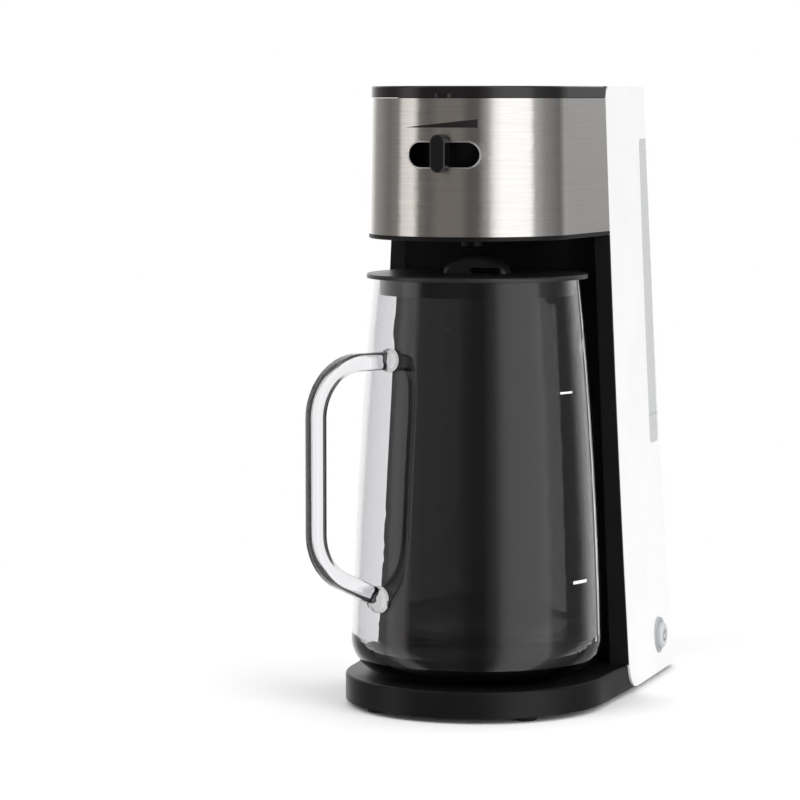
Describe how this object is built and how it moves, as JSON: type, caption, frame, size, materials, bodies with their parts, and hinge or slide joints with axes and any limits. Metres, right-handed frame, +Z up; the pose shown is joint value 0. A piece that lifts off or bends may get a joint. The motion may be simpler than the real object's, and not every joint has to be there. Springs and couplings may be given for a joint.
{
  "type": "iced tea maker",
  "caption": "Counter-top iced tea maker with a steel-banded brewing head, water tank, strength slider, hinged top lid and a glass pitcher with a strainer lid under the head.",
  "frame": {"origin": "middle of the outline's box at the plane of the feet", "axes": "+Z up; front, where the pitcher slides out, toward -Y; +X to the right seen from the front"},
  "size_m": [0.1557, 0.2618, 0.34],
  "materials": {
    "base_housing": "satin black moulding",
    "bottom_cover": "satin black moulding",
    "rubber_feet": "matt rubber",
    "screws": "zinc-plated steel",
    "column_front": "satin black moulding",
    "left_side_panel": "gloss white moulding",
    "right_side_panel": "gloss white moulding",
    "rear_cover": "satin black moulding",
    "cord_gland": "matt rubber",
    "level_window": "clear plastic",
    "water_tank": "clear plastic",
    "tank_shelf": "satin black moulding",
    "tank_valve": "natural moulding",
    "supply_hose": "translucent silicone",
    "heater": "cast aluminium",
    "heater_bracket": "zinc-plated sheet",
    "thermostat": "phenolic moulding",
    "thermal_fuse": "tinned steel",
    "riser_hose": "translucent silicone",
    "power_switch": "moulded switch body",
    "button_ring": "clear ribbed plastic",
    "head_shell": "satin black moulding",
    "head_deck": "satin black moulding",
    "steel_band": "brushed stainless steel",
    "slot_bezel": "bright metal",
    "brew_basket": "satin black moulding",
    "tea_filter": "moulded frame with mesh",
    "hinge_bracket": "dark moulding",
    "hinge_pin": "ground steel",
    "top_lid": "dark gloss moulding",
    "spray_head": "satin black moulding",
    "selector_lever": "satin black moulding",
    "selector_knob": "gloss black moulding",
    "power_button": "light gloss moulding",
    "pitcher_glass": "clear glass",
    "pitcher_handle": "clear glass",
    "pitcher_lid": "satin black moulding"
  },
  "bodies": {
    "housing": {"base_housing": "base_housing", "bottom_cover": "bottom_cover", "rubber_feet": "rubber_feet", "screws": "screws", "column_front": "column_front", "left_side_panel": "left_side_panel", "right_side_panel": "right_side_panel", "rear_cover": "rear_cover", "cord_gland": "cord_gland", "level_window": "level_window", "water_tank": "water_tank", "tank_shelf": "tank_shelf", "tank_valve": "tank_valve", "supply_hose": "supply_hose", "heater": "heater", "heater_bracket": "heater_bracket", "thermostat": "thermostat", "thermal_fuse": "thermal_fuse", "riser_hose": "riser_hose", "power_switch": "power_switch", "button_ring": "button_ring", "head_shell": "head_shell", "head_deck": "head_deck", "steel_band": "steel_band", "slot_bezel": "slot_bezel", "brew_basket": "brew_basket", "tea_filter": "tea_filter", "hinge_bracket": "hinge_bracket", "hinge_pin": "hinge_pin"},
    "lid": {"top_lid": "top_lid", "spray_head": "spray_head"},
    "selector": {"selector_lever": "selector_lever", "selector_knob": "selector_knob"},
    "button": {"power_button": "power_button"},
    "pitcher": {"pitcher_glass": "pitcher_glass", "pitcher_handle": "pitcher_handle"},
    "pitcher_cover": {"pitcher_lid": "pitcher_lid"}
  },
  "joints": [
    {"name": "lid_hinge", "type": "hinge", "parent": "housing", "child": "lid", "pos_m": [0, 0.10234, 0.336], "axis": [-1, 0, 0], "range_deg": [0, 95]},
    {"name": "selector_turn", "type": "hinge", "parent": "housing", "child": "selector", "pos_m": [0, -0.03966, 0.2615], "axis": [0, 0, 1], "range_deg": [-14, 14]},
    {"name": "button_press", "type": "slide", "parent": "housing", "child": "button", "axis": [-1, 0, 0], "range_m": [0, 0.002], "stiffness_N_per_m": 900},
    {"name": "pitcher_slide", "type": "slide", "parent": "housing", "child": "pitcher", "axis": [0, -1, 0], "range_m": [0, 0.2]},
    {"name": "pitcher_lid_turn", "type": "hinge", "parent": "pitcher", "child": "pitcher_cover", "pos_m": [0, -0.03066, 0.2361], "axis": [0, 0, 1], "continuous": true}
  ]
}
